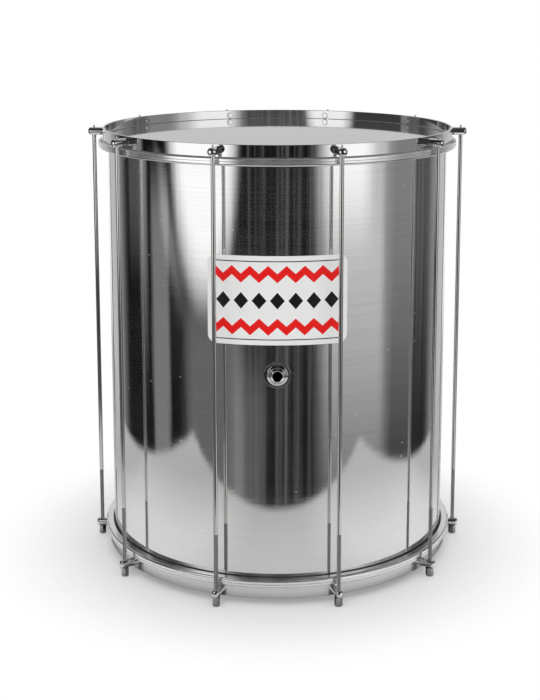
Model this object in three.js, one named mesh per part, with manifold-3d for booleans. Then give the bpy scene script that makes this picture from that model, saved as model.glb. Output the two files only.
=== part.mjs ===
// A surdo: a deep bass drum with two heads, flat-band counterhoops, flesh hoops that show
// beside them, and ten full-length tension rods carried by domed barrel lugs.
// Millimetres, +Z up. It stands on its ten tension nuts at z = 0, and the vent faces -Y.

import * as THREE from 'three';
import { mergeVertices } from 'three/addons/utils/BufferGeometryUtils.js';
import Module from 'manifold-3d';

const wasm = await Module();
wasm.setup();

// Fits and fineness

const fit_gap = 0.3; // between pieces that touch or pass through each other
const cut_overrun = 1; // how far a cutting shape runs past the face that it cuts
const weld_distance = 1e-4; // points closer than this are one point
const rod_count = 10;
const facets_per_rod = 6;
const ring_facets = rod_count * facets_per_rod;
const barrel_facets = 10;
const rod_facets = 8;
const nut_facets = 12; // of washers and of the cone that bevels a nut's six corners
const rosette_facets = 24;
const round_steps = 3; // straight steps in a quarter round
const bead_steps = 4; // straight steps round the shell's rolled edge

// Shell: one metal cylinder whose two edges are rolled inwards to a bead

const shell_diameter = 503; // a 20 inch shell, rolled 5 mm under so that the head slips over it
const shell_height = 600;
const shell_wall = 1.2;
const shell_bead_radius = 2;
const shell_bead_turns = 2.5; // quarter turns that the bead is rolled through

// Heads: a film over each end, with a collar that runs down inside the flesh hoop

const head_film = 0.4;
const head_recess = 14; // from the playing face up to the counterhoop's edge
const head_collar = 11;

// Flesh hoops: rounded hoops that carry the heads

const flesh_hoop_air = 2.5; // free gap between the shell and the hoop
const flesh_hoop_width = 10.5;
const flesh_hoop_height = 10.5;
const flesh_hoop_shoulder = 3.2; // round on the edge that faces the middle of the drum
const flesh_hoop_corner = 1.4; // bevel on the edge that faces the counterhoop
const flesh_hoop_groove = 0.6; // depth and half height of the fine groove round it
const flesh_hoop_groove_share = 0.42; // height of the groove, from the counterhoop's side

// Counterhoops: flat bands that press on the flesh hoops

const counterhoop_air = 2; // free gap between the head's collar and the band
const counterhoop_band = 17.5;
const counterhoop_thickness = 2.8;
const counterhoop_edge = 0.6; // bevel on the band's free edge

// Lugs: radial barrels with a domed end, riveted through the counterhoop's band

const lug_diameter = 12;
const lug_reach = 23.5; // from the counterhoop to the tip of the dome
const lug_dome = 4.5;
const lug_from_edge = 8.5; // from the counterhoop's free edge to the barrel's axis
const lug_spot_face = 0.8; // depth of the flat that the nut bears on
const tail_diameter = 5; // the lug's tail, which runs through the band
const peen_diameter = 9.6; // the tail's end, spread flat inside the band
const peen_thickness = 0.8;

// Tension rods and nuts

const rod_diameter = 6;
const rod_from_tip = 9; // from the tip of the lug's dome in to the rod's axis
const rod_shoulder_lift = 1.5; // the rod's shoulder, above the axis of the top lug
const rod_spigot_diameter = 2.6;
const rod_spigot_stand = 3; // how far the spigot pokes out above the top lug
const rod_bevel = 0.5; // on the spigot's tip
const rod_end_lift = 5; // the rod's lower end, above the nut's lower face
const nut_across_flats = 10;
const nut_length = 12.8;
const nut_bevel = 1.1;
const nut_turn_share = 0.37; // each nut stands this share of a flat further round than the last

// Vent: a rosette and a round-lipped hollow button, held from inside by a washer and a nut

const rosette_diameter = 36.6;
const rosette_plate = 1.8; // from the shell out to the face of the plate
const rosette_edge = 0.5; // bevel on the plate's edge
const boss_diameter = 28.4;
const boss_stand = 5; // from the shell out to the face of the boss
const boss_round = 3.2; // round on the boss's edge
const button_diameter = 20.8;
const button_stand = 8.3; // from the shell out to the crest of the lip
const button_round = 2.8; // round on the button's outer edge
const lip_inset = 0.8; // how far the crest of the lip slopes back towards the air hole
const air_hole_diameter = 13.6;
const vent_lift = 2.5; // the vent's axis, above the middle of the drum
const stem_diameter = 17;
const stem_end = 2; // how far the stem runs past the lock nut
const washer_diameter = 25;
const washer_thickness = 1.5;
const lock_nut_across_flats = 21;
const lock_nut_height = 4;
const lock_nut_bevel = 0.5;

// Levels, counted up from the middle of the drum

const shell_radius = shell_diameter / 2;
const shell_edge = shell_height / 2;
const head_inner_face = shell_edge + fit_gap;
const head_outer_face = head_inner_face + head_film;
const hoop_edge = head_outer_face + head_recess;
const hoop_seat = hoop_edge - counterhoop_band;
const flesh_hoop_top = hoop_seat - fit_gap;
const flesh_hoop_bottom = flesh_hoop_top - flesh_hoop_height;
const collar_end = head_outer_face - head_collar;
const lug_level = hoop_edge - lug_from_edge;
const nut_seat = lug_level + lug_diameter / 2 - lug_spot_face;
const nut_top = nut_seat + fit_gap;
const middle_height = nut_top + nut_length; // the middle of the drum, above the floor

// Radii and angles

const station_angle = (2 * Math.PI) / rod_count;
const facet_share = Math.cos(Math.PI / ring_facets); // radius of a facet's middle over its corners' radius
const flesh_hoop_inner = shell_radius + flesh_hoop_air;
const flesh_hoop_outer = flesh_hoop_inner + flesh_hoop_width;
const collar_outer = flesh_hoop_inner - fit_gap;
const collar_inner = collar_outer - head_film;
const counterhoop_inner = collar_outer + counterhoop_air;
const counterhoop_radius = counterhoop_inner + counterhoop_thickness;
const peen_seat = counterhoop_inner * facet_share - fit_gap;
const lug_base = counterhoop_radius * facet_share + fit_gap;
const lug_tip = counterhoop_radius + lug_reach;
const rod_circle = lug_tip - rod_from_tip;
const tail_radius = tail_diameter / 2;
const rod_radius = rod_diameter / 2;
const spigot_radius = rod_spigot_diameter / 2;
const stem_radius = stem_diameter / 2;

// Corner radius of a faceted bore whose facets clear a pin
const bore = (pin_radius, facets) => (pin_radius + fit_gap) / Math.cos(Math.PI / facets);

const rod_bore = bore(rod_radius, rod_facets);
const spigot_bore = bore(spigot_radius, rod_facets);
const tail_bore = bore(tail_radius, barrel_facets);
const stem_bore = bore(stem_radius, nut_facets);

// Geometry helpers

const point = (radius, level) => new THREE.Vector2(radius, level);

const flipped = (profile) => profile.map((p) => point(p.x, -p.y)).reverse();

// Welds a geometry's corners, so that it is one closed surface, and drops faces with no area.
function welded(geometry) {
  const bare = geometry.clone();
  bare.deleteAttribute('normal');
  bare.deleteAttribute('uv');
  const merged = mergeVertices(bare, weld_distance);
  const corners = merged.getIndex().array;
  const kept = [];
  for (let i = 0; i < corners.length; i += 3) {
    const [a, b, c] = corners.slice(i, i + 3);
    if (a !== b && b !== c && c !== a) {
      kept.push(a, b, c);
    }
  }
  merged.setIndex(kept);
  return merged;
}

function solid(geometry) {
  const closed = welded(geometry);
  return new wasm.Manifold(new wasm.Mesh({
    numProp: 3,
    vertProperties: new Float32Array(closed.getAttribute('position').array),
    triVerts: new Uint32Array(closed.getIndex().array),
  }));
}

function surface(body) {
  const mesh = body.getMesh();
  const geometry = new THREE.BufferGeometry();
  const positions = new Float32Array(mesh.vertProperties);
  geometry.setAttribute('position', new THREE.BufferAttribute(positions, mesh.numProp));
  geometry.setIndex(new THREE.BufferAttribute(new Uint32Array(mesh.triVerts), 1));
  return geometry;
}

// Turns a profile of radii and levels about +Z.
function turned(profile, facets, start = 0) {
  return new THREE.LatheGeometry(profile, facets, start).rotateX(Math.PI / 2);
}

// Turns a profile about -Y, the way that the vent and the first rod station face; levels run outwards.
function turned_outwards(profile, facets) {
  return new THREE.LatheGeometry(profile, facets, Math.PI / facets).rotateX(Math.PI);
}

// Turns a closed profile about the drum's axis. A facet's middle, not a corner, faces each rod.
const half_facet = Math.PI / ring_facets;

function ring(profile) {
  return turned([...profile, profile[0]], ring_facets, half_facet);
}

function upright_cylinder(radius, low, high, facets) {
  return turned([point(0, low), point(radius, low), point(radius, high), point(0, high)], facets);
}

// The vent is turned at the middle of the drum and lifted into its place.
const at_vent = (geometry) => geometry.translate(0, 0, vent_lift);

function outward_cylinder(radius, low, high, facets) {
  return turned_outwards([point(0, low), point(radius, low), point(radius, high), point(0, high)], facets);
}

// Points of an elliptical arc from one angle to another, in quarter turns.
function arc(centre, width, height, from, to, steps) {
  const points = [];
  for (let i = 0; i <= steps; i += 1) {
    const angle = (from + ((to - from) * i) / steps) * (Math.PI / 2);
    points.push(point(centre.x + width * Math.cos(angle), centre.y + height * Math.sin(angle)));
  }
  return points;
}

// A hexagonal nut along +Z, bevelled at its free end, with a round hole.
function hex_nut(across_flats, height, bevel, hole_radius, hole_facets) {
  const corner_radius = across_flats / Math.sqrt(3);
  const prism = solid(upright_cylinder(corner_radius, 0, height, 6));
  const blank = solid(turned([
    point(0, -cut_overrun),
    point(corner_radius - bevel - cut_overrun, -cut_overrun),
    point(corner_radius + cut_overrun, bevel + cut_overrun),
    point(corner_radius + cut_overrun, height + cut_overrun),
    point(0, height + cut_overrun),
  ], nut_facets));
  const hole = solid(upright_cylinder(hole_radius, -cut_overrun, height + cut_overrun, hole_facets));
  return surface(prism.intersect(blank).subtract(hole));
}

// Materials

function finish(color, roughness, metalness) {
  return new THREE.MeshStandardMaterial({ color, roughness, metalness });
}

const finishes = {
  shell: () => finish(0xd6d6d6, 0.14, 1),
  head: () => finish(0xd9dad8, 0.2, 0),
  flesh_hoop: () => finish(0xc9cac8, 0.34, 1),
  counterhoop: () => finish(0xd8d9da, 0.16, 1),
  lug: () => finish(0xdededf, 0.06, 1),
  rod: () => finish(0xd0d0cd, 0.16, 1),
  nut: () => finish(0xa9a9a6, 0.36, 1),
  vent: () => finish(0xdadadb, 0.08, 1),
};

// Sub-parts

function piece(name, geometry, material) {
  const mesh = new THREE.Mesh(welded(geometry), material);
  mesh.name = name;
  return mesh;
}

function shell() {
  const bead = point(shell_radius - shell_bead_radius, shell_edge - shell_bead_radius);
  const rolled_edge = arc(bead, shell_bead_radius, shell_bead_radius, 0, shell_bead_turns, bead_steps);
  const under_bead = point(shell_radius - shell_wall, shell_edge - 2 * shell_bead_radius - shell_wall / 2);
  const upper = [...rolled_edge, under_bead];
  const wall = solid(ring([...flipped(upper), ...upper]));
  const hole = solid(at_vent(outward_cylinder(stem_bore, shell_radius - 2 * shell_bead_radius - cut_overrun,
    shell_radius + cut_overrun, nut_facets)));
  return surface(wall.subtract(hole));
}

function head_profile() {
  return [
    point(0, head_inner_face),
    point(shell_radius + fit_gap, head_inner_face),
    point(collar_inner, flesh_hoop_top),
    point(collar_inner, collar_end),
    point(collar_outer, collar_end),
    point(collar_outer, flesh_hoop_top),
    point(shell_radius + fit_gap + head_film, head_outer_face),
    point(0, head_outer_face),
  ];
}

function flesh_hoop_profile() {
  const bottom = flesh_hoop_bottom;
  const groove = flesh_hoop_top - flesh_hoop_height * flesh_hoop_groove_share;
  const shoulder = point(flesh_hoop_outer - flesh_hoop_shoulder, bottom + flesh_hoop_shoulder);
  return [
    point(flesh_hoop_inner, bottom),
    ...arc(shoulder, flesh_hoop_shoulder, flesh_hoop_shoulder, -1, 0, round_steps),
    point(flesh_hoop_outer, groove - flesh_hoop_groove),
    point(flesh_hoop_outer - flesh_hoop_groove, groove),
    point(flesh_hoop_outer, groove + flesh_hoop_groove),
    point(flesh_hoop_outer, flesh_hoop_top - flesh_hoop_corner),
    point(flesh_hoop_outer - flesh_hoop_corner, flesh_hoop_top),
    point(flesh_hoop_inner, flesh_hoop_top),
  ];
}

function counterhoop_profile() {
  const bevel = counterhoop_edge;
  return [
    point(counterhoop_inner, hoop_seat),
    point(counterhoop_radius, hoop_seat),
    point(counterhoop_radius, hoop_edge - bevel),
    point(counterhoop_radius - bevel, hoop_edge),
    point(counterhoop_inner + bevel, hoop_edge),
    point(counterhoop_inner, hoop_edge - bevel),
  ];
}

// The band has a hole at each rod for the lug's tail.
function counterhoop(profile, level) {
  const low = counterhoop_inner * facet_share - cut_overrun;
  const drill = outward_cylinder(tail_bore, low, counterhoop_radius + cut_overrun, barrel_facets);
  let band = solid(ring(profile));
  for (let i = 0; i < rod_count; i += 1) {
    band = band.subtract(solid(drill.clone().translate(0, 0, level).rotateZ((i + 0.5) * station_angle)));
  }
  return surface(band);
}

// A lug lies along -Y, with its axis at level zero: the peened tail, the barrel and the dome.
function lug_barrel() {
  const radius = lug_diameter / 2;
  const peen_radius = peen_diameter / 2;
  return solid(turned_outwards([
    point(0, peen_seat - peen_thickness),
    point(peen_radius, peen_seat - peen_thickness),
    point(peen_radius, peen_seat),
    point(tail_radius, peen_seat),
    point(tail_radius, lug_base),
    point(radius, lug_base),
    ...arc(point(0, lug_tip - lug_dome), radius, lug_dome, 0, 1, round_steps).slice(0, -1),
    point(0, lug_tip),
  ], barrel_facets));
}

function at_rod(geometry) {
  return solid(geometry.translate(0, -rod_circle, 0));
}

function top_lug() {
  const above = lug_diameter / 2 + cut_overrun;
  const step = rod_shoulder_lift + fit_gap;
  const rod_hole = at_rod(upright_cylinder(rod_bore, -above, step, rod_facets));
  const spigot_hole = at_rod(upright_cylinder(spigot_bore, 0, above, rod_facets));
  return surface(lug_barrel().subtract(rod_hole).subtract(spigot_hole));
}

function bottom_lug() {
  const radius = lug_diameter / 2;
  const above = radius + cut_overrun;
  const rod_hole = at_rod(upright_cylinder(rod_bore, -above, above, rod_facets));
  const spot_face = at_rod(upright_cylinder(lug_diameter, -above, -(radius - lug_spot_face), barrel_facets));
  return surface(lug_barrel().subtract(rod_hole).subtract(spot_face));
}

function tension_rod() {
  const low = rod_end_lift - middle_height;
  const shoulder = lug_level + rod_shoulder_lift;
  const tip = lug_level + lug_diameter / 2 + rod_spigot_stand;
  return turned([
    point(0, low),
    point(rod_radius, low),
    point(rod_radius, shoulder),
    point(spigot_radius, shoulder),
    point(spigot_radius, tip - rod_bevel),
    point(spigot_radius - rod_bevel, tip),
    point(0, tip),
  ], rod_facets);
}

function vent_rosette() {
  const rim = rosette_diameter / 2;
  const back = shell_radius - shell_wall;
  const plate = shell_radius + rosette_plate;
  const front = shell_radius + boss_stand;
  const boss_radius = boss_diameter / 2;
  const profile = [
    point(stem_bore, back),
    point(rim, back),
    point(rim, plate - rosette_edge),
    point(rim - rosette_edge, plate),
    ...arc(point(boss_radius - boss_round, plate), boss_round, front - plate, 0, 1, round_steps),
    point(stem_bore, front),
  ];
  const blank = solid(turned_outwards([...profile, profile[0]], rosette_facets));
  const reach = rim + cut_overrun;
  const drum = solid(turned([
    point(0, -reach),
    point(shell_radius + fit_gap, -reach),
    point(shell_radius + fit_gap, reach),
    point(0, reach),
  ], ring_facets, half_facet));
  return surface(blank.subtract(drum));
}

// Levels inside the shell, counted outwards from the drum's axis
const washer_face = (shell_radius - shell_wall) * facet_share - fit_gap;
const lock_nut_face = washer_face - washer_thickness - fit_gap;
const stem_inner_end = lock_nut_face - lock_nut_height - stem_end;

// A hollow button: the air goes through its threaded stem.
function vent_button() {
  const rim = button_diameter / 2;
  const hole_radius = air_hole_diameter / 2;
  const seat = shell_radius + boss_stand + fit_gap;
  const crest = shell_radius + button_stand;
  const profile = [
    point(hole_radius, stem_inner_end),
    point(stem_radius, stem_inner_end),
    point(stem_radius, seat),
    point(rim, seat),
    ...arc(point(rim - button_round, seat), button_round, crest - seat, 0, 1, round_steps),
    point(hole_radius, crest - lip_inset),
  ];
  return turned_outwards([...profile, profile[0]], rosette_facets);
}

function vent_washer() {
  const low = washer_face - washer_thickness;
  const rim = washer_diameter / 2;
  const profile = [point(stem_bore, low), point(rim, low), point(rim, washer_face), point(stem_bore, washer_face)];
  return turned_outwards([...profile, profile[0]], nut_facets);
}

function vent_lock_nut() {
  const nut = hex_nut(lock_nut_across_flats, lock_nut_height, lock_nut_bevel, stem_bore, nut_facets);
  return nut.rotateX(Math.PI / 2).translate(0, -(lock_nut_face - lock_nut_height), 0);
}

// Assembly, built about the middle of the drum and lifted onto its nuts

const drum = new THREE.Group();
drum.position.z = middle_height;

drum.add(
  piece('shell', shell(), finishes.shell()),
  piece('top_head', turned(head_profile(), ring_facets, half_facet), finishes.head()),
  piece('bottom_head', turned(flipped(head_profile()), ring_facets, half_facet), finishes.head()),
  piece('top_flesh_hoop', ring(flesh_hoop_profile()), finishes.flesh_hoop()),
  piece('bottom_flesh_hoop', ring(flipped(flesh_hoop_profile())), finishes.flesh_hoop()),
  piece('top_counterhoop', counterhoop(counterhoop_profile(), lug_level), finishes.counterhoop()),
  piece('bottom_counterhoop', counterhoop(flipped(counterhoop_profile()), -lug_level), finishes.counterhoop()),
  piece('vent_rosette', at_vent(vent_rosette()), finishes.vent()),
  piece('vent_button', at_vent(vent_button()), finishes.vent()),
  piece('vent_washer', at_vent(vent_washer()), finishes.vent()),
  piece('vent_lock_nut', at_vent(vent_lock_nut()), finishes.vent()),
);

// One station for each rod, spaced evenly, with the vent midway between the first and the last

const flat_angle = Math.PI / 3;

for (let i = 0; i < rod_count; i += 1) {
  const number = String(i + 1).padStart(2, '0');
  const station = new THREE.Group();
  station.rotation.z = (i + 0.5) * station_angle;

  const upper_lug = piece(`top_lug_${number}`, top_lug(), finishes.lug());
  upper_lug.position.z = lug_level;

  const lower_lug = piece(`bottom_lug_${number}`, bottom_lug(), finishes.lug());
  lower_lug.position.z = -lug_level;

  const rod = piece(`tension_rod_${number}`, tension_rod(), finishes.rod());
  rod.position.y = -rod_circle;

  const nut_shape = hex_nut(nut_across_flats, nut_length, nut_bevel, rod_bore, rod_facets);
  const nut = piece(`tension_nut_${number}`, nut_shape, finishes.nut());
  nut.position.set(0, -rod_circle, -middle_height);
  nut.rotation.z = i * nut_turn_share * flat_angle;

  station.add(upper_lug, lower_lug, rod, nut);
  drum.add(station);
}

const surdo = new THREE.Group();
surdo.add(drum);

export default surdo;
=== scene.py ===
# %% [markdown]
# # Dressing a surdo
#
# A surdo is the bass drum that carries the beat of a samba band: a polished metal cylinder as
# long as a leg, with a head at each end and ten tension rods that draw the two rims together.
# The frame that is loaded here already holds the drum at its true size, as plain faceted solids
# that a motion program can pose. This lesson gives each piece its fine surface and its finish.
# Nothing in the frame is moved. A new piece takes over the place of a frame piece, and rides on
# the same body.

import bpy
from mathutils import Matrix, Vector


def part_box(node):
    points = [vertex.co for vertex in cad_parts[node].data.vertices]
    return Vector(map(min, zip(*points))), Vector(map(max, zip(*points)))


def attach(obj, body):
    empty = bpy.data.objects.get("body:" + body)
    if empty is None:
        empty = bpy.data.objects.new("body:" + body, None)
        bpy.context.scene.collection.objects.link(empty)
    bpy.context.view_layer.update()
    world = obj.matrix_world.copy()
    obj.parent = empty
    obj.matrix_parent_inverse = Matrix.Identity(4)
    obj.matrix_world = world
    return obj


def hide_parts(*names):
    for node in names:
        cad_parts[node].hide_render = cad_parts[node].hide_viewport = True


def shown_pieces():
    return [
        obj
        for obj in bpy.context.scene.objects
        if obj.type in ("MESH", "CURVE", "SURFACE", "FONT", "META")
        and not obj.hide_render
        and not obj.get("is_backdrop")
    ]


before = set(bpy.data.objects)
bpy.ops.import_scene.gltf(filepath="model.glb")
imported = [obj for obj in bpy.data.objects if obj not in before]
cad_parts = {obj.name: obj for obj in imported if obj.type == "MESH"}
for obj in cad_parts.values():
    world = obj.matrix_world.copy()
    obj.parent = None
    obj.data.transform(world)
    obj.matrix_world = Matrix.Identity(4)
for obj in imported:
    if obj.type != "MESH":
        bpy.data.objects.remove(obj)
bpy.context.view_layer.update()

# %% Modules
import math

import bmesh
import bpy
from mathutils import Matrix, Vector

# %% [markdown]
# ## Measuring the frame
#
# Every size here either comes from the frame or is a small named size of the piece itself. For
# a round piece the useful numbers are its inner and outer radius about the drum's axis and its
# lowest and highest level, so one helper reads those four from the corners of a frame piece.

# %% Units and measures
mm = 0.001
full_turn = 2 * math.pi
up = Vector((0, 0, 1))
right = Vector((1, 0, 0))
outwards = Vector((0, -1, 0))
scene = bpy.context.scene


def measured(node):
    """Inner radius, outer radius, lowest level and highest level of a frame piece."""
    corners = [corner.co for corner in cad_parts[node].data.vertices]
    radii = [math.hypot(corner.x, corner.y) for corner in corners]
    levels = [corner.z for corner in corners]
    return min(radii), max(radii), min(levels), max(levels)


_, shell_radius, shell_low, shell_high = measured("shell")
drum_middle = (shell_low + shell_high) / 2
print(f"shell: radius {shell_radius:.4f}, from {shell_low:.4f} to {shell_high:.4f}")

# %% [markdown]
# ## The camera
#
# The drum was seen from a little above its rim, about two metres off, with its upright lines
# nearly upright. The camera looks down by less than ten degrees and the lens is shifted, which
# keeps them so. The position, the pitch, the focal length and the shift come from a fit to the
# twenty lug centres.

# %% Camera
picture_long_side = 700
focal_pixels = 1381.9
sensor_width = 36
camera_distance = 2.0519
camera_height = 0.8455
camera_pitch = math.radians(9.667)
centre_pixel = (277.4, 220)
picture_size = (540, 700)

lens = bpy.data.cameras.new("camera")
lens.sensor_fit = "AUTO"
lens.sensor_width = sensor_width
lens.lens = sensor_width * focal_pixels / picture_long_side
lens.shift_x = (picture_size[0] / 2 - centre_pixel[0]) / picture_long_side
lens.shift_y = (centre_pixel[1] - picture_size[1] / 2) / picture_long_side
camera = bpy.data.objects.new("camera", lens)
camera.location = (0, -camera_distance, camera_height)
camera.rotation_euler = (math.pi / 2 - camera_pitch, 0, 0)
scene.collection.objects.link(camera)
scene.camera = camera
scene.view_settings.view_transform = "Standard"
print(f"lens {lens.lens:.1f} mm, shift {lens.shift_x:.3f} {lens.shift_y:.3f}")

# %% [markdown]
# ## Shader arithmetic
#
# A finish is a small calculation: this mask times that noise, added to a base. Node graphs hide
# that, so a signal here wraps one socket, and adding or multiplying signals adds the Math nodes
# that do the sum. Every other node comes from one method, which sets the node up first and then
# fills or links its sockets.

# %% Signals and shaders


class Signal:
    """One output socket. An expression on signals adds its Math nodes."""

    def __init__(self, shader, socket):
        self.shader = shader
        self.socket = socket

    def output(self, name):
        return Signal(self.shader, self.socket.node.outputs[name])

    def maths(self, operation, *values):
        return self.shader.node("ShaderNodeMath", {"operation": operation}, dict(enumerate(values)))

    def __add__(self, other):
        return self.maths("ADD", self, other)

    def __sub__(self, other):
        return self.maths("SUBTRACT", self, other)

    def __rsub__(self, other):
        return self.maths("SUBTRACT", other, self)

    def __mul__(self, other):
        return self.maths("MULTIPLY", self, other)

    def __pow__(self, other):
        return self.maths("POWER", self, other)

    def __abs__(self):
        return self.maths("ABSOLUTE", self)

    __radd__ = __add__
    __rmul__ = __mul__

    def most(self, other):
        return self.maths("MAXIMUM", self, other)

    def least(self, other):
        return self.maths("MINIMUM", self, other)

    def ramp(self, start, end):
        """Nought at start and one at end, with a smooth rise between them."""
        return self.shader.node(
            "ShaderNodeMapRange",
            {"interpolation_type": "SMOOTHSTEP"},
            {0: self, 1: start, 2: end},
        )

    def within(self, low, high, soft):
        """One between low and high, with soft edges."""
        return self.ramp(low - soft, low + soft) * self.ramp(high + soft, high - soft)


class Shader:
    """The node tree of a material or of the world."""

    def __init__(self, owner):
        owner.use_nodes = True
        self.tree = owner.node_tree
        self.tree.nodes.clear()

    def node(self, kind, settings=None, sockets=None, output=0):
        """Adds a node. Its settings are set before its sockets."""
        made = self.tree.nodes.new(kind)
        for name, value in (settings or {}).items():
            setattr(made, name, value)
        for key, value in (sockets or {}).items():
            if isinstance(value, Signal):
                self.tree.links.new(value.socket, made.inputs[key])
            else:
                made.inputs[key].default_value = value
        return Signal(self, made.outputs[output]) if made.outputs else made

    def parts(self, vector):
        split = self.node("ShaderNodeSeparateXYZ", {}, {0: vector})
        return split, split.output("Y"), split.output("Z")

    def mixed(self, amount, first, second):
        """A colour between two colours."""
        sockets = {0: amount, 6: first, 7: second}
        return self.node("ShaderNodeMix", {"data_type": "RGBA"}, sockets, output=2)


def grey(level):
    return (level, level, level, 1)


# %% [markdown]
# ## The studio
#
# Polished metal has no look of its own: it shows the room. The drum was lit by two big soft
# boxes, to the left and the right of the camera, with a dark room between and beyond them, a
# light backdrop behind the drum and a pale table under it. The world is painted the same way,
# as a function of the direction that a ray leaves in: the azimuth, nought towards the camera
# and growing to the right, and the elevation, both in degrees. A light patch beside the left
# stand slants, so it follows a sum of the two. The camera itself sees plain white. The overhead
# light shows on matt things alone, because the real one hung where no mirror on this drum could
# find it.

# %% Directions in the world
world = bpy.data.worlds.new("studio")
scene.world = world
studio = Shader(world)
heading = studio.node("ShaderNodeTexCoord").output("Generated")
to_x, to_y, to_z = studio.parts(heading)
azimuth = studio.node("ShaderNodeMath", {"operation": "ARCTAN2"}, {0: to_x, 1: to_y * -1})
azimuth = azimuth * (180 / math.pi)
elevation = studio.node("ShaderNodeMath", {"operation": "ARCSINE"}, {0: to_z})
elevation = elevation * (180 / math.pi)
aside = abs(azimuth)
light_path = studio.node("ShaderNodeLightPath")
seen = light_path.output("Is Camera Ray")
mirrored = light_path.output("Is Glossy Ray")


# %% Right soft box
right_edge = azimuth.ramp(20.5, 38.5) * elevation.ramp(30, 18)
right_box = right_edge * azimuth.ramp(70, 55) * elevation.ramp(-11.8, -7.2) * 0.5
right_screen = right_edge * azimuth.ramp(84, 70) * elevation.ramp(-27, -9.5) * 0.57

# %% Stands, backdrop and ceiling
left_stand = azimuth.within(-92, -77, 2) * elevation.ramp(-6.3, -10) * 0.19
left_stand_back = azimuth.within(-104, -97, 2) * elevation.ramp(-18, -8) * 0.2
patch_slant = 3.5
left_slant = (azimuth + elevation * patch_slant).within(-117, -107, 4)
left_patch = left_slant * azimuth.within(-84, -64, 4) * elevation.ramp(-14.5, -10.5) * 0.2
right_stand = azimuth.within(79, 103, 4) * elevation.ramp(-24, -8) * 0.22
left_floor = azimuth.within(-63, -23, 6) * elevation.within(-26, -12.5, 1.5) * 0.12
front_floor = azimuth.within(-64, 22, 8) * elevation.ramp(-9, -14) * 0.006
backdrop = aside.ramp(118, 146) * 0.52 + aside.ramp(150, 163) * 0.4
backdrop = backdrop * (elevation.ramp(4, 0) * 0.33 + 0.67)
ceiling = elevation.ramp(42, 60) * (1 - mirrored) * 1.3
fill = (1 - mirrored) * aside.ramp(80, 20) * 0.56
stripe_place = studio.node("ShaderNodeCombineXYZ", {}, {0: azimuth * 0.26, 1: elevation * 0.012})
stripes = studio.node(
    "ShaderNodeTexNoise", {}, {"Vector": stripe_place, "Scale": 1.0, "Detail": 4.0, "Roughness": 0.7}
)
streaks = stripes.ramp(0.44, 0.68)
stripes = streaks * aside.ramp(34, 24) * elevation.ramp(24, 6)
left_back = azimuth.within(-117, -103, 4) * elevation.ramp(-13, -8) * 0.09
right_back = azimuth.within(102, 129, 4) * elevation.ramp(-21, -7) * 0.11
side_glow = (left_back + right_back) * (1 - streaks * 0.8)
front_glow = aside.ramp(60, 20) * elevation.ramp(-2, 5) * 0.03
left_glow = azimuth.within(-30, -9, 4) * elevation.ramp(-14, -17.5) * 0.08
room = right_box + right_screen + left_stand + left_stand_back + right_stand
room = room + left_patch + left_floor + front_floor + left_glow + front_glow + side_glow + stripes * 0.09
room = room + backdrop + ceiling + fill + 0.007
brightness = room + (1 - room) * seen
lit = studio.node("ShaderNodeBackground", {}, {"Color": grey(1), "Strength": brightness})
studio.node("ShaderNodeOutputWorld", {}, {"Surface": lit})
print("studio nodes:", len(world.node_tree.nodes))

# %% [markdown]
# ## The round soft box
#
# The left-hand light stood so close that each lug sees it in another direction, so it is a real
# disc in the scene and not a patch of the world: 0.82 m across, at the drum's own height, and
# fading towards its rim. The camera looks through it. Only mirrors and matt surfaces see it.

# %% Round soft box
soft_box_radius = 0.41
soft_box_bearing = math.radians(-49.5)
soft_box_distance = 0.85
soft_box_aside = 0.12
soft_box_height = 0.6
bpy.ops.object.select_all(action="DESELECT")
bpy.ops.mesh.primitive_circle_add(vertices=96, radius=soft_box_radius, fill_type="NGON")
soft_box = bpy.context.active_object
soft_box.name = "round_soft_box"
soft_box.rotation_euler = (math.pi / 2, 0, soft_box_bearing)
towards = Vector((math.sin(soft_box_bearing), -math.cos(soft_box_bearing), 0))
sideways = Vector((math.cos(soft_box_bearing), math.sin(soft_box_bearing), 0))
soft_box.location = towards * soft_box_distance + sideways * soft_box_aside + Vector((0, 0, soft_box_height))
soft_box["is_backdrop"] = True

glow = Shader(bpy.data.materials.new("soft_light"))
disc_x, disc_y, _ = glow.parts(glow.node("ShaderNodeTexCoord").output("Object"))
from_middle = (disc_x * disc_x + disc_y * disc_y) ** 0.5
strength = from_middle.ramp(soft_box_radius, 0.2) * 1.12
lamp = glow.node("ShaderNodeEmission", {}, {"Color": grey(1), "Strength": strength})
through = glow.node("ShaderNodeBsdfTransparent")
glow_path = glow.node("ShaderNodeLightPath")
shown = from_middle.ramp(soft_box_radius, 0.3) * (1 - glow_path.output("Is Camera Ray"))
glowing = glow.node("ShaderNodeMixShader", {}, {0: shown, 1: through, 2: lamp})
glow.node("ShaderNodeOutputMaterial", {}, {"Surface": glowing})
soft_box.data.materials.append(bpy.data.materials["soft_light"])
print("round soft box at", [round(v, 3) for v in soft_box.location])
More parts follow.
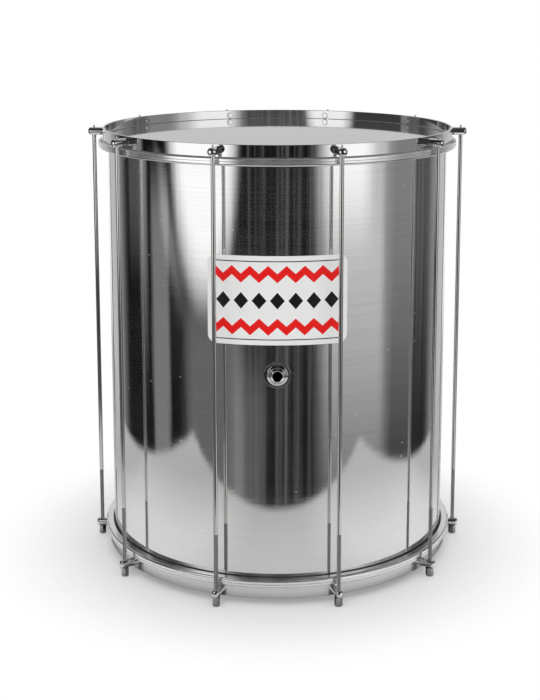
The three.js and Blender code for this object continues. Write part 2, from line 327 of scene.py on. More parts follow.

# %% [markdown]
# ## The floor
#
# The drum stands on a pale floor that fades into the white behind it, so that only a soft
# shadow shows round the nuts. In the drum's mirror the table is smaller: it ends in front of the
# drum, and the dark room begins there. So a glossy ray meets the floor only inside the table.
# There the table's grey holds painted light: it is painted brighter near the drum, less so
# behind it, and brighter towards the sides, with a painted shadow right under the drum.

# %% Floor
floor_reach = 4
table_half_width = 0.71
table_middle = -0.02
table_front = -0.6
floor_fade = (0.24, 0.46)
floor_see_through = 0.3
bpy.ops.mesh.primitive_grid_add(x_subdivisions=8, y_subdivisions=8, size=2 * floor_reach)
floor = bpy.context.active_object
floor.name = "floor"
floor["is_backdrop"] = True

floor_finish = bpy.data.materials.new("pale_floor")
paint = Shader(floor_finish)
ground_x, ground_y, _ = paint.parts(paint.node("ShaderNodeTexCoord").output("Object"))
path = paint.node("ShaderNodeLightPath")
ground_seen = path.output("Is Camera Ray")
ground_mirrored = path.output("Is Glossy Ray")
away = (ground_x * ground_x + ground_y * ground_y) ** 0.5
on_table = abs(ground_x - table_middle).ramp(table_half_width + 0.03, table_half_width - 0.03)
on_table = on_table * ground_y.ramp(table_front - 0.02, table_front + 0.02)
fade = away.ramp(*floor_fade) * (1 - floor_see_through) + floor_see_through
kept = 1 - ground_seen * fade - ground_mirrored * (1 - on_table)
# Painted light: the mirrored table is painted brighter near the drum, and less so behind it.
painted_light_near_drum = (away.ramp(0.8, 0.26) - ground_y.ramp(-0.1, 0.25) * 0.5).most(0)
# Painted light and shadow: the mirrored table is painted brighter towards the sides and dark right under the
# drum.
painted_side_light_and_shadow = (abs(ground_x).ramp(0.08, 0.3) * 0.24 + 0.94) * (away.ramp(0.25, 0.31) * 0.8 + 0.2)
table = paint.mixed(painted_light_near_drum, grey(0.48), grey(0.89))
table = paint.node("ShaderNodeVectorMath", {"operation": "SCALE"}, {0: table, 3: painted_side_light_and_shadow})
pale = paint.mixed(ground_mirrored, grey(0.9), table)
matt = paint.node("ShaderNodeBsdfDiffuse", {}, {"Color": pale})
clear = paint.node("ShaderNodeBsdfTransparent")
surface = paint.node("ShaderNodeMixShader", {}, {0: kept, 1: clear, 2: matt})
paint.node("ShaderNodeOutputMaterial", {}, {"Surface": surface})
floor.data.materials.append(floor_finish)
print("floor reaches", floor_reach, "m; table front at", table_front, "m")

# %% [markdown]
# ## Drawing and spinning
#
# Nearly every piece of a drum was turned on a lathe or rolled into a ring, so one way of
# modelling serves them all. A plane is shrunk to a single point, the point is extruded along
# the outline of the section, and the outline is spun round an axis. The seam is then merged and
# the faces are turned outwards. A level axis other than +Z gives pieces that stick out of the
# drum's side, such as the vent and the lugs.

# %% Drawing helpers
same_point = 1e-6
sharp_angle = math.radians(32)
ring_steps = 240
small_steps = 40


def start_clean():
    """Leaves edit mode and selects nothing."""
    if bpy.context.active_object and bpy.context.active_object.mode != "OBJECT":
        bpy.ops.object.mode_set(mode="OBJECT")
    bpy.ops.object.select_all(action="DESELECT")


def chosen(piece):
    """Makes a piece the only one that is selected."""
    start_clean()
    piece.select_set(True)
    bpy.context.view_layer.objects.active = piece
    return piece


def arc(centre, across, along, start, end, steps):
    """Points of an elliptical arc from one angle to another, in quarter turns."""
    angles = [(start + (end - start) * i / steps) * math.pi / 2 for i in range(steps + 1)]
    return [(centre[0] + across * math.cos(a), centre[1] + along * math.sin(a)) for a in angles]


def drawn(name, outline, origin=Vector(), axis=up):
    """Draws an outline of (radius, level) points by extruding one point, and stays in edit mode."""
    start_clean()
    points = [origin + right * radius + axis * level for radius, level in outline]
    bpy.ops.mesh.primitive_plane_add(size=mm, location=points[0])
    bpy.ops.object.transform_apply()
    piece = bpy.context.active_object
    piece.name = piece.data.name = name
    bpy.ops.object.mode_set(mode="EDIT")
    bpy.ops.mesh.merge(type="CENTER")
    for before, after in zip(points, points[1:]):
        bpy.ops.mesh.extrude_region_move(TRANSFORM_OT_translate={"value": after - before})
    return piece


def spun(name, outline, origin=Vector(), axis=up, steps=ring_steps):
    """Spins an outline round an axis into a closed body."""
    piece = drawn(name, outline, origin, axis)
    bpy.ops.mesh.select_all(action="SELECT")
    bpy.ops.mesh.spin(steps=steps, angle=full_turn, center=origin, axis=axis)
    bpy.ops.mesh.select_all(action="SELECT")
    bpy.ops.mesh.remove_doubles(threshold=same_point)
    bpy.ops.mesh.normals_make_consistent(inside=False)
    bpy.ops.object.mode_set(mode="OBJECT")
    return piece


# %% Modifiers
def modified(piece, kind, **settings):
    """Adds a modifier, sets it and applies it."""
    chosen(piece)
    modifier = piece.modifiers.new(kind.lower(), kind)
    for name, value in settings.items():
        setattr(modifier, name, value)
    bpy.ops.object.modifier_apply(modifier=modifier.name)
    return piece


def rounded(piece, width, segments=3):
    """Bevels every edge that is sharper than the limit."""
    return modified(
        piece, "BEVEL", width=width, segments=segments, limit_method="ANGLE", angle_limit=sharp_angle
    )


def cut(piece, cutter, operation="DIFFERENCE"):
    """Cuts a piece with a cutter, which is then thrown away."""
    modified(piece, "BOOLEAN", object=cutter, operation=operation, solver="EXACT")
    bpy.data.objects.remove(cutter)
    return piece


def smoothed(piece):
    """Smooth shading in which a big face keeps its own direction and a bevel takes the bend."""
    chosen(piece)
    bpy.ops.object.shade_smooth_by_angle(angle=sharp_angle)
    return modified(piece, "WEIGHTED_NORMAL", keep_sharp=True)


def dressed(piece, finish, slot, body, *nodes):
    """Gives a finished piece its material, its body and the frame pieces that it stands for."""
    piece.data.materials.clear()
    piece.data.materials.append(finish)
    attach(piece, body)
    if nodes:
        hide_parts(*nodes)
    return piece


def mirrored_upside_down(outline):
    """The same outline at the other end of the drum."""
    return [(radius, 2 * drum_middle - level) for radius, level in outline]


# %% [markdown]
# ## Finishes
#
# One function makes every metal, because they differ in a few ways: how bright they are, how
# clear their mirror is, how strongly the polishing wheel's lines show, how far the sheet waves,
# and how dirty they are. The lines run round the drum, so the noise is squeezed along the axis
# until it becomes fine rings. Larger, slow patches vary the roughness as fingers do. The dirt is
# an even dust and, on the shell, a few matt specks, one to a cell of a flat pattern that is
# wrapped round the drum.

# %% Metal
cells_round, cells_up = 9, 26  # speck cells to a radian and to a metre


def metal(name, tone, roughness, lines=0.0, line_pitch=1.1 * mm, haze=0.03, dust=0.0, waves=0.0, specks=0.0):
    """A polished metal with fine lines round the drum's axis, and with dust, specks and waves."""
    finish = bpy.data.materials.new(name)
    shader = Shader(finish)
    place = shader.node("ShaderNodeTexCoord").output("Object")

    def noise(stretch, detail, seed=0.0):
        spot = shader.node("ShaderNodeMapping", {}, {0: place, 1: (seed, seed, seed), 3: stretch})
        return shader.node("ShaderNodeTexNoise", {}, {"Vector": spot, "Scale": 1.0, "Detail": detail}) - 0.5

    fine = noise((2.2, 2.2, 1 / line_pitch), 2.0)
    bands = noise((5, 5, 0.2 / line_pitch), 3.0)
    patches = noise((9, 9, 9), 4.0)
    worn = noise((160, 160, 160), 2.0)
    shine = fine * (0.16 * lines) + bands * (0.12 * lines) + patches * 0.05 + 1
    dull = fine * (0.10 * lines) + bands * (0.08 * lines) + patches * haze + worn * (haze * 0.6) + roughness
    bright = (tone, tone, tone * 0.995, 1)
    dark = (tone * 0.78, tone * 0.775, tone * 0.765, 1)
    colour = shader.mixed((shine * 5 - 4.1).least(1).most(0), dark, bright)
    sockets = {"Base Color": colour, "Metallic": 1.0, "Roughness": dull.most(0.02)}
    if dust:
        settled = (noise((14, 14, 7), 5.0, 3.1) * 3 + fine * 1.2 + 0.5).most(0).least(1)
        sockets["Metallic"] = 1 - settled * dust
    if specks:
        across, behind, level = shader.parts(place)
        turned = shader.node("ShaderNodeMath", {"operation": "ARCTAN2"}, {0: across, 1: behind * -1})
        cells = {0: turned * cells_round, 1: level * cells_up}
        spot = shader.node("ShaderNodeCombineXYZ", {}, cells)
        cell = shader.node(
            "ShaderNodeTexVoronoi", {"voronoi_dimensions": "2D"}, {"Vector": spot, "Scale": 1.0}
        )
        chance, _, _ = shader.parts(cell.output("Color"))
        dot = cell.ramp(0.033, 0.015) * chance.ramp(0.83, 0.85)
        sockets["Metallic"] = sockets["Metallic"] - dot * specks
        sockets["Roughness"] = sockets["Roughness"] + dot * specks
    if waves:
        height = noise((17, 17, 2.2), 2.0, 1.7) * waves + noise((90, 90, 3.5), 2.0, 5.3) * (waves * 0.2)
        height = height + fine * (lines * 0.012 * mm)
        bump = {"Strength": 1.0, "Distance": 1.0, "Height": height}
        sockets["Normal"] = shader.node("ShaderNodeBump", {}, bump)
    skin = shader.node("ShaderNodeBsdfPrincipled", {}, sockets)
    shader.node("ShaderNodeOutputMaterial", {}, {"Surface": skin})
    return finish


shell_finish = metal("polished_aluminium", 0.88, 0.06, lines=0.8, dust=0.02, waves=0.35 * mm, specks=0.4)
chrome = metal("clear_chrome", 0.88, 0.04, haze=0.02)
band_finish = metal("hoop_chrome", 0.89, 0.04, lines=0.12, waves=0.12 * mm)
lower_band_finish = metal("brushed_hoop_chrome", 0.86, 0.2, lines=1.2, dust=0.15, waves=0.1 * mm)
flesh_finish = metal("satin_hoop", 0.95, 0.17, lines=0.5, dust=0.27)
# The nuts' dull, hazy finish is real, but their low tone is painted shade for the shadow under the drum that
# they mirror.
nut_finish = metal("dull_nickel_painted_dark", 0.46, 0.13, haze=0.12)
print("metals:", shell_finish.name, chrome.name, band_finish.name, lower_band_finish.name, flesh_finish.name)

# %% [markdown]
# ## The shell
#
# The shell is one sheet of aluminium rolled into a cylinder and welded, with both edges rolled
# inwards to a smooth bead, over which the heads bend. The whole section is drawn once and spun.
# The long wall is a mirror, so its two end loops are doubled close to the beads: the bend then
# stays in the short faces, and the wall reflects straight lines as straight lines.

# %% Shell
bead_radius = 2 * mm
shell_wall = 1.2 * mm
support = 1.5 * mm
vent_level = (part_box("vent_button")[0].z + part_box("vent_button")[1].z) / 2
vent_patch = 17 * mm

bead_centre = (shell_radius - bead_radius, shell_high - bead_radius)
rolled = arc(bead_centre, bead_radius, bead_radius, 0, 2.5, 14)
under_bead = (shell_radius - shell_wall, shell_high - 2 * bead_radius - shell_wall / 2)
upper_half = [(shell_radius, bead_centre[1] - support)] + rolled
upper_half += [under_bead, (under_bead[0], under_bead[1] - support)]
lower_half = mirrored_upside_down(upper_half)[::-1]
vent_rows = [(shell_radius, vent_level - vent_patch), (shell_radius, vent_level + vent_patch)]
section = lower_half + vent_rows + upper_half + lower_half[:1]
shell = spun("polished_shell", section)

stem_hole_radius = 8.9 * mm
stem_hole = spun(
    "stem_hole",
    [(0, shell_radius - 20 * mm), (stem_hole_radius, shell_radius - 20 * mm),
     (stem_hole_radius, shell_radius + 5 * mm), (0, shell_radius + 5 * mm)],
    Vector((0, 0, vent_level)), outwards, small_steps,
)
cut(shell, stem_hole)
dressed(smoothed(shell), shell_finish, "shell_metal", "drum", "shell")
print("shell faces:", len(shell.data.polygons))

# %% [markdown]
# ## The heads
#
# A head is a glossy plastic film, stretched over the bead and bent down into the flesh hoop,
# where its collar is gripped. Seen at a shallow angle it is nearly a mirror, so it shows the
# backdrop and the inside of the rim. The bend over the bead is drawn as an arc.

# %% Heads
_, collar_outer, collar_end, head_face = measured("top_head")
film = 0.4 * mm
bend = 2.2 * mm
slope_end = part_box("top_flesh_hoop")[1].z
brow = shell_radius + 0.3 * mm

outer_bend = arc((brow - bend, head_face - bend), bend, bend, 1, 0.3, 8)
head_section = [(0, head_face), (brow - bend - 6 * mm, head_face)] + outer_bend
head_section += [(collar_outer, slope_end), (collar_outer, collar_end), (collar_outer - film, collar_end)]
head_section += [(collar_outer - film, slope_end)]
head_section += [(r - film * 0.8, level - film) for r, level in outer_bend[::-1]]
head_section += [(0, head_face - film)]


# %% Head film
def film_material(name, tone):
    """A milky film: a clear coat over a grey body, with faint clouds and a fine grain."""
    finish = bpy.data.materials.new(name)
    shader = Shader(finish)
    place = shader.node("ShaderNodeTexCoord").output("Object")
    cloud = shader.node("ShaderNodeTexNoise", {}, {"Vector": place, "Scale": 7.0, "Detail": 4.0}) - 0.5
    grain = shader.node("ShaderNodeTexNoise", {}, {"Vector": place, "Scale": 420.0, "Detail": 2.0}) - 0.5
    amount = (cloud * 0.5 + grain * 0.25 + 0.5).least(1).most(0)
    light = (tone * 1.04, tone * 1.04, tone * 1.02, 1)
    shade = (tone * 0.94, tone * 0.94, tone * 0.93, 1)
    colour = shader.mixed(amount, shade, light)
    dull = cloud * 0.02 + grain * 0.01 + 0.05
    wave = shader.node("ShaderNodeTexNoise", {}, {"Vector": place, "Scale": 5.0, "Detail": 1.0})
    normal = shader.node("ShaderNodeBump", {}, {"Strength": 1.0, "Distance": 0.00004, "Height": wave})
    sockets = {"Base Color": colour, "Roughness": dull, "IOR": 1.5, "Normal": normal}
    sockets.update({"Coat Weight": 1.0, "Coat Roughness": 0.04})
    skin = shader.node("ShaderNodeBsdfPrincipled", {}, sockets)
    shader.node("ShaderNodeOutputMaterial", {}, {"Surface": skin})
    return finish


head_finish = film_material("milky_film", 0.28)
upper_head = smoothed(spun("upper_drumhead", head_section))
lower_head = smoothed(spun("lower_drumhead", mirrored_upside_down(head_section)))
dressed(upper_head, head_finish, "head_film", "drum", "top_head")
dressed(lower_head, head_finish, "head_film", "drum", "bottom_head")
print("head faces:", len(upper_head.data.polygons))

# %% [markdown]
# ## Flesh hoops
#
# The flesh hoop grips the head's collar. Its edge that faces the middle of the drum is rolled
# over, and a fine groove runs round it where its two parts meet. The section is a rectangle with
# a round shoulder and a small round groove.

# %% Flesh hoops
flesh_inner, flesh_outer, flesh_low, flesh_high = measured("top_flesh_hoop")
shoulder = 3.2 * mm
flesh_corner = 1.4 * mm
groove = 0.55 * mm
groove_level = flesh_high - 0.42 * (flesh_high - flesh_low)
edge = 0.4 * mm

flesh_section = [(flesh_inner, flesh_low + edge), (flesh_inner + edge, flesh_low)]
flesh_section += arc((flesh_outer - shoulder, flesh_low + shoulder), shoulder, shoulder, -1, 0, 12)
flesh_section += arc((flesh_outer, groove_level), groove, groove, -1, -3, 8)
corner_centre = (flesh_outer - flesh_corner, flesh_high - flesh_corner)
flesh_section += arc(corner_centre, flesh_corner, flesh_corner, 0, 1, 6)
flesh_section += [(flesh_inner + edge, flesh_high), (flesh_inner, flesh_high - edge)]
flesh_section += flesh_section[:1]
upper_flesh = smoothed(spun("upper_flesh_ring", flesh_section))
lower_flesh = smoothed(spun("lower_flesh_ring", mirrored_upside_down(flesh_section)))
dressed(upper_flesh, flesh_finish, "flesh_hoop_metal", "upper_hoop_set", "top_flesh_hoop")
dressed(lower_flesh, flesh_finish, "flesh_hoop_metal", "drum", "bottom_flesh_hoop")
print("flesh hoop from", round(flesh_low, 4), "to", round(flesh_high, 4))

# %% [markdown]
# ## Counterhoops
#
# The counterhoop is a flat steel band, rolled into a ring, welded and chromed. It presses the
# flesh hoop towards the middle of the drum. A rectangle is spun and its edges are bevelled.

# %% Counterhoops
band_inner, band_outer, band_low, band_high = measured("top_counterhoop")
band_edge = 0.7 * mm
band_section = [(band_inner, band_low), (band_outer, band_low), (band_outer, band_high)]
band_section += [(band_inner, band_high), (band_inner, band_low)]
upper_band = smoothed(rounded(spun("upper_band", band_section), band_edge, 4))
lower_band = smoothed(rounded(spun("lower_band", mirrored_upside_down(band_section)), band_edge, 4))
dressed(upper_band, band_finish, "top_hoop_chrome", "upper_hoop_set", "top_counterhoop")
dressed(lower_band, lower_band_finish, "bottom_hoop_metal", "drum", "bottom_counterhoop")
print("band", round(band_outer - band_inner, 5), "m thick,", round(band_high - band_low, 4), "m high")

# %% [markdown]
# ## Stations
#
# Ten rods stand round the drum, thirty-six degrees apart, with the vent midway between the first
# and the last. A piece of a station is modelled once, facing the front, and copied to each rod
# with its own mesh. Its turn and its place are applied to that mesh.

# %% Placing copies
rod_count = 10
station_angle = full_turn / rod_count
lug_low, lug_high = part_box("top_lug_03")
rod_circle = (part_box("tension_rod_03")[0].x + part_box("tension_rod_03")[1].x) / 2
rod_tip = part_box("tension_rod_03")[1].z
rod_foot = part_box("tension_rod_03")[0].z
lug_tip = lug_high.x
lug_radius = 5.9 * mm
lug_level = (lug_low.z + lug_high.z) / 2
low_lug_level = 2 * drum_middle - lug_level


def station_copies(master, name, turns=None):
    """Copies a piece that faces the front to all ten rods, and deletes the first."""
    copies = []
    for i in range(rod_count):
        chosen(master)
        bpy.ops.object.duplicate()
        copy = bpy.context.active_object
        copy.name = copy.data.name = f"{name}_{i + 1:02d}"
        spot = Vector((0, -rod_circle, 0))
        own_turn = Matrix.Rotation(turns(i) if turns else 0, 4, "Z")
        own_turn = Matrix.Translation(spot) @ own_turn @ Matrix.Translation(-spot)
        copy.matrix_world = Matrix.Rotation((i + 0.5) * station_angle, 4, "Z") @ own_turn
        bpy.ops.object.transform_apply()
        copies.append(copy)
    bpy.data.objects.remove(master)
    return copies


print("rods on a circle of", round(rod_circle, 4), "m, lugs at", round(lug_level, 4), round(low_lug_level, 4))

# %% [markdown]
# ## Lugs
#
# A lug is a short steel barrel that stands on the band, with a domed end. Its tail runs through
# the band and is peened flat inside. The upper lug holds the rod's shoulder from below, and lets
# a thin spigot through at the top. The lower lug is drilled right through, and has a flat where
# the nut bears. The barrel is spun and the holes are cut with spun pins.

# %% Lugs
dome_height = 4.5 * mm
lug_seat = band_outer - 0.15 * mm
peen_radius = 4.8 * mm
peen_height = 0.9 * mm
hole_clearance = 0.25 * mm
rod_radius = 3 * mm
spigot_radius = 1.3 * mm
spot_face_depth = 0.8 * mm
rod_shoulder = lug_level + 1.5 * mm


def lug_blank(name, level):
    """A lug without its holes, standing out of the front of the drum."""
    barrel = [(0, lug_seat), (lug_radius - 0.3 * mm, lug_seat), (lug_radius, lug_seat + 0.3 * mm)]
    barrel += arc((0, lug_tip - dome_height), lug_radius, dome_height, 0, 1, 14)
    return spun(name, barrel, Vector((0, 0, level)), outwards, small_steps)


def pin(name, radius, low, high, steps=small_steps):
    """An upright pin on the rod's line, to cut with."""
    outline = [(0, low), (radius, low), (radius, high), (0, high)]
    return spun(name, outline, Vector((0, -rod_circle, 0)), up, steps)


rod_hole = rod_radius + hole_clearance
spigot_hole = spigot_radius + hole_clearance
upper_lug = lug_blank("upper_lug", lug_level)
cut(upper_lug, pin("rod_hole", rod_hole, lug_level - 2 * lug_radius, rod_shoulder + hole_clearance))
cut(upper_lug, pin("spigot_hole", spigot_hole, lug_level, lug_level + 2 * lug_radius))
lower_lug = lug_blank("lower_lug", low_lug_level)
cut(lower_lug, pin("rod_hole", rod_hole, low_lug_level - 2 * lug_radius, low_lug_level + 2 * lug_radius))
spot_top = low_lug_level - lug_radius + spot_face_depth
cut(lower_lug, pin("spot_face", 2 * lug_radius, low_lug_level - 2 * lug_radius, spot_top))
for number, lug in enumerate(station_copies(smoothed(upper_lug), "upper_stud"), 1):
    dressed(lug, chrome, "lug_chrome", "upper_hoop_set", f"top_lug_{number:02d}")
for number, lug in enumerate(station_copies(smoothed(lower_lug), "lower_stud"), 1):
    dressed(lug, chrome, "lug_chrome", "drum", f"bottom_lug_{number:02d}")
print("lug faces:", len(lug.data.polygons))


# %% Peened tails
def peened_tail(name, level):
    """The spread end of a lug's tail, inside the band."""
    outline = [(0, band_inner + 0.3 * mm), (peen_radius, band_inner + 0.3 * mm)]
    outline += arc((peen_radius - peen_height, band_inner), peen_height, -peen_height, 0, 1, 5)
    outline += [(0, band_inner - peen_height)]
    return smoothed(spun(name, outline, Vector((0, 0, level)), outwards, small_steps))


for number, tail in enumerate(station_copies(peened_tail("tail", lug_level), "upper_tail"), 1):
    dressed(tail, chrome, "lug_chrome", "upper_hoop_set")
for number, tail in enumerate(station_copies(peened_tail("tail", low_lug_level), "lower_tail"), 1):
    dressed(tail, chrome, "lug_chrome", "drum")
print("tails:", 2 * rod_count)

# %% [markdown]
# ## Tension rods
#
# A rod is a bright steel wire, threaded at its lower end. Where the thread shows it is duller,
# because a cut thread is rougher than drawn wire. The thread is real: one tooth is drawn and the
# Screw modifier winds it up the rod. Two bisections trim it flat, and it is joined to the shaft.

# %% Rods
thread_pitch = 1.0 * mm
thread_depth = 0.5 * mm
thread_top = low_lug_level + lug_radius + 80 * mm
thread_turns = math.ceil((thread_top - rod_foot) / thread_pitch) + 2
tip_bevel = 0.5 * mm
rod_line = Vector((0, -rod_circle, 0))

thread = drawn(
    "thread",
    [(rod_radius, -thread_pitch / 2), (rod_radius - thread_depth, 0), (rod_radius, thread_pitch / 2)],
    Vector(), up,
)
bpy.ops.object.mode_set(mode="OBJECT")
modified(
    thread, "SCREW", axis="Z", angle=full_turn, steps=14, render_steps=14, iterations=thread_turns,
    screw_offset=thread_pitch, use_merge_vertices=True, merge_threshold=same_point,
)
thread.location = rod_line + up * (rod_foot - thread_pitch)
bpy.ops.object.transform_apply()
bpy.ops.object.mode_set(mode="EDIT")
for level, side in ((rod_foot, -1), (thread_top, 1)):
    bpy.ops.mesh.select_all(action="SELECT")
    bpy.ops.mesh.bisect(plane_co=(0, 0, level), plane_no=(0, 0, side), use_fill=True, clear_outer=True)
bpy.ops.mesh.select_all(action="SELECT")
bpy.ops.mesh.normals_make_consistent(inside=False)
bpy.ops.object.mode_set(mode="OBJECT")
print("thread turns:", thread_turns, "faces:", len(thread.data.polygons))

# %% Shafts
shaft_section = [
    (0, thread_top - 1 * mm),
    (rod_radius - thread_depth, thread_top - 1 * mm),
    (rod_radius, thread_top - 0.4 * mm),
    (rod_radius, rod_shoulder - 0.3 * mm),
    (rod_radius - 0.3 * mm, rod_shoulder),
    (spigot_radius, rod_shoulder),
    (spigot_radius, rod_tip - tip_bevel),
    (spigot_radius - tip_bevel, rod_tip),
    (0, rod_tip),
]
rod = spun("rod", shaft_section, rod_line, up, 28)
cut(rod, thread, "UNION")


def rod_material():
    """Bright steel that turns dull over the thread."""
    finish = bpy.data.materials.new("bright_steel")
    shader = Shader(finish)
    place = shader.node("ShaderNodeTexCoord").output("Object")
    _, _, level = shader.parts(place)
    threaded = level.ramp(thread_top + 0.5 * mm, thread_top - 0.5 * mm)
    smear = shader.node("ShaderNodeTexNoise", {}, {"Vector": place, "Scale": 60.0, "Detail": 3.0}) - 0.5
    colour = shader.mixed(threaded, (0.72, 0.715, 0.70, 1), (0.78, 0.77, 0.75, 1))
    dull = threaded * 0.2 + smear * 0.05 + 0.12
    skin = shader.node(
        "ShaderNodeBsdfPrincipled", {}, {"Base Color": colour, "Metallic": 1.0, "Roughness": dull}
    )
    shader.node("ShaderNodeOutputMaterial", {}, {"Surface": skin})
    return finish


rod_finish = rod_material()
for number, copy in enumerate(station_copies(smoothed(rod), "rod"), 1):
    dressed(copy, rod_finish, "rod_steel", "upper_hoop_set", f"tension_rod_{number:02d}")
print("rod faces:", len(copy.data.polygons))

# %% [markdown]
# ## Tension nuts
#
# Under each lower lug a long hexagonal nut runs on the thread, and the drum stands on the ten
# nuts. The free end is bevelled, so its corners are cut back in arcs. A six-sided cylinder is
# crossed with a spun blank whose end is a cone, which leaves just those arcs.

# %% Nuts
nut_low, nut_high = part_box("tension_nut_01")[0].z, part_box("tension_nut_01")[1].z
nut_flats = 10 * mm
nut_corner = nut_flats / math.sqrt(3)
nut_bevel = 1.1 * mm
nut_bore = rod_radius + 0.15 * mm
nut_turn_share = 0.37
flat_angle = full_turn / 6

start_clean()
bpy.ops.mesh.primitive_cylinder_add(
    vertices=6, radius=nut_corner, depth=nut_high - nut_low, location=rod_line + up * (nut_low + nut_high) / 2
)
nut = bpy.context.active_object
bpy.ops.object.transform_apply()
rounded(nut, 0.25 * mm, 2)
cone = [(0, nut_low - mm), (nut_corner - 2.1 * nut_bevel, nut_low - mm)]
cone += [(nut_corner + mm, nut_low + nut_bevel + mm)]
cone += [(nut_corner + mm, nut_high + mm), (0, nut_high + mm)]
cut(nut, spun("nut_blank", cone, rod_line, up, 48), "INTERSECT")
cut(nut, pin("nut_bore", nut_bore, nut_low - mm, nut_high + mm))


def nut_turn(i):
    return i * nut_turn_share * flat_angle


for number, copy in enumerate(station_copies(smoothed(nut), "hex_nut", nut_turn), 1):
    dressed(copy, nut_finish, "nut_steel", f"nut_{number:02d}", f"tension_nut_{number:02d}")
print("nut from", nut_low, "to", round(nut_high, 4))

# %% [markdown]
# ## The vent
#
# A drum needs a hole to breathe. Here a hollow chrome button with a threaded stem goes through a
# rosette and the shell, and a washer and a nut hold it from inside. The rosette is a thin plate
# with a boss, and its back is cut to the curve of the shell. The boss and the button have sloping
# shoulders: their lower sides face the table and shine as a white crescent, while the rest stays
# dark, and each bevelled edge draws a thin bright ring.

# %% Vent
vent_place = Vector((0, 0, vent_level))
plate_radius, plate_stand = 18.3 * mm, 1.8 * mm
boss_radius, boss_stand, boss_slope = 14.2 * mm, 5 * mm, 2.7 * mm
button_radius, button_stand, button_slope = 10.4 * mm, 8.3 * mm, 2.5 * mm
vent_edge = 0.35 * mm
air_hole_radius = 6.8 * mm
lip_fall = 0.7 * mm
stem_radius = 8.5 * mm
stem_gap = 0.15 * mm
rose_bore = stem_radius + 0.3 * mm
rose_back = shell_radius - 4 * mm
plate_face = shell_radius + plate_stand
boss_face = shell_radius + boss_stand
button_seat = boss_face + stem_gap
button_crest = shell_radius + button_stand
stem_inner = -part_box("vent_button")[1].y

rose = [
    (rose_bore, rose_back), (plate_radius, rose_back), (plate_radius, plate_face), (boss_radius, plate_face),
    (boss_radius, boss_face - boss_slope), (boss_radius - boss_slope, boss_face), (rose_bore, boss_face),
]
rosette = rounded(spun("vent_rose", rose + rose[:1], vent_place, outwards, 96), vent_edge)
core_low, core_high = vent_level - 2 * plate_radius, vent_level + 2 * plate_radius
drum_core = [(0, core_low), (shell_radius, core_low), (shell_radius, core_high), (0, core_high)]
cut(rosette, spun("drum_core", drum_core))
dressed(smoothed(rosette), chrome, "vent_chrome", "drum", "vent_rosette")

button = [
    (air_hole_radius, stem_inner), (stem_radius, stem_inner), (stem_radius, button_seat),
    (button_radius, button_seat), (button_radius, button_crest - button_slope),
    (button_radius - button_slope, button_crest), (air_hole_radius, button_crest - lip_fall),
]
cap = rounded(spun("vent_cap", button + button[:1], vent_place, outwards, 96), vent_edge)
dressed(smoothed(cap), chrome, "vent_chrome", "drum", "vent_button")
for node in ("vent_washer", "vent_lock_nut"):
    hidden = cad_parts[node]
    hidden.data.materials.clear()
    hidden.data.materials.append(nut_finish)
print("vent at level", round(vent_level, 4), "standing", round(button_crest - shell_radius, 4))

# %% [markdown]
# ## The label
#
# A printed film label sits high on the front. This one is plain: a white field with rounded
# corners, a row of black diamonds between two red zigzags, and a thin black rule at the top and
# at the bottom. A thin ring just outside the shell is crossed with a block with rounded corners,
# so the label lies on the curve. The print is arithmetic on the object's own coordinates,
# measured along the arc and up the drum.

# %% Label shape
label_width = 193 * mm
label_height = 122 * mm
label_level = 429 * mm
label_corner = 12 * mm
label_film = 0.15 * mm
block_depth = 120 * mm

film_low, film_high = label_level - label_height, label_level + label_height
inner_face, outer_face = shell_radius + 0.02 * mm, shell_radius + label_film
ring = [(inner_face, film_low), (outer_face, film_low), (outer_face, film_high), (inner_face, film_high)]
label = spun("front_label", ring + ring[:1], steps=ring_steps)
start_clean()
block_width = 2 * shell_radius * math.sin(label_width / 2 / shell_radius)
bpy.ops.mesh.primitive_cube_add(size=1, location=(0, -shell_radius, label_level))
block = bpy.context.active_object
block.scale = (block_width, block_depth, label_height)
bpy.ops.object.transform_apply()
bpy.ops.object.mode_set(mode="EDIT")
bpy.ops.mesh.select_mode(type="EDGE")
bpy.ops.mesh.select_all(action="DESELECT")
cage = bmesh.from_edit_mesh(block.data)
for side in cage.edges:
    first, second = side.verts
    side.select_set(abs(first.co.y - second.co.y) > 50 * mm)
bmesh.update_edit_mesh(block.data)
bpy.ops.mesh.bevel(offset=label_corner, segments=10)
bpy.ops.object.mode_set(mode="OBJECT")
cut(label, block, "INTERSECT")
print("label faces:", len(label.data.polygons))

# %% Label print
print_half_width = 86 * mm
tooth = 24.6 * mm
zigzag_level = 36 * mm
zigzag_half_width = 6.2 * mm
diamond_reach = 11.5 * mm
rule_level = 53.5 * mm
rule_half_width = 0.7 * mm


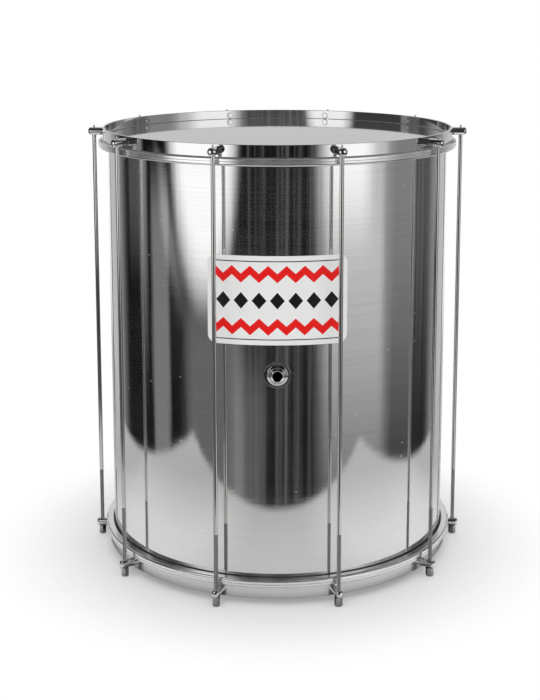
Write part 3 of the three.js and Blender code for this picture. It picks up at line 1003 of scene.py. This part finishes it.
def label_material():
    """White film with a row of black diamonds between two red zigzags and two thin rules."""
    finish = bpy.data.materials.new("printed_film")
    shader = Shader(finish)
    place = shader.node("ShaderNodeTexCoord").output("Object")
    x, y, z = shader.parts(place)
    round_angle = shader.node("ShaderNodeMath", {"operation": "ARCTAN2"}, {0: x, 1: y * -1})
    along = round_angle * shell_radius
    height = z - label_level
    soft = 0.15 * mm

    def inside(signal, edge):
        return signal.ramp(edge + soft, edge - soft)

    def triangle_wave(pitch):
        """From nought to half the pitch and back, nought at the label's middle."""
        return shader.node("ShaderNodeMath", {"operation": "PINGPONG"}, {0: abs(along), 1: pitch / 2})

    printed = inside(abs(along), print_half_width)
    zigzag = abs(abs(height) - zigzag_level - (triangle_wave(tooth) - tooth / 4) * 0.9)
    red_here = inside(zigzag, zigzag_half_width) * printed
    to_middle = triangle_wave(tooth)
    diamond = to_middle * 1.15 + abs(height)
    black_here = inside(diamond, diamond_reach) * printed
    rule = inside(abs(abs(height) - rule_level), rule_half_width)
    black_here = black_here.most(rule * printed)
    fade = shader.node("ShaderNodeTexNoise", {}, {"Vector": place, "Scale": 30.0, "Detail": 3.0}) - 0.5
    white = shader.mixed(fade + 0.5, (0.97, 0.97, 0.965, 1), (1, 1, 0.995, 1))
    red = shader.mixed(fade + 0.5, (0.94, 0.006, 0.004, 1), (1, 0.01, 0.007, 1))
    colour = shader.mixed(red_here, white, red)
    colour = shader.mixed(black_here, colour, (0.012, 0.012, 0.012, 1))
    skin = shader.node(
        "ShaderNodeBsdfPrincipled", {},
        {"Base Color": colour, "Roughness": fade * 0.06 + 0.34, "IOR": 1.35},
    )
    shader.node("ShaderNodeOutputMaterial", {}, {"Surface": skin})
    return finish


dressed(smoothed(label), label_material(), "badge_film", "drum")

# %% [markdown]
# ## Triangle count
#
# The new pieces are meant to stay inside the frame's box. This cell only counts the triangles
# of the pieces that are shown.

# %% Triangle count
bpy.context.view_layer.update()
triangles = sum(len(p.vertices) - 2 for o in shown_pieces() if o.type == "MESH" for p in o.data.polygons)
print("triangles:", triangles)
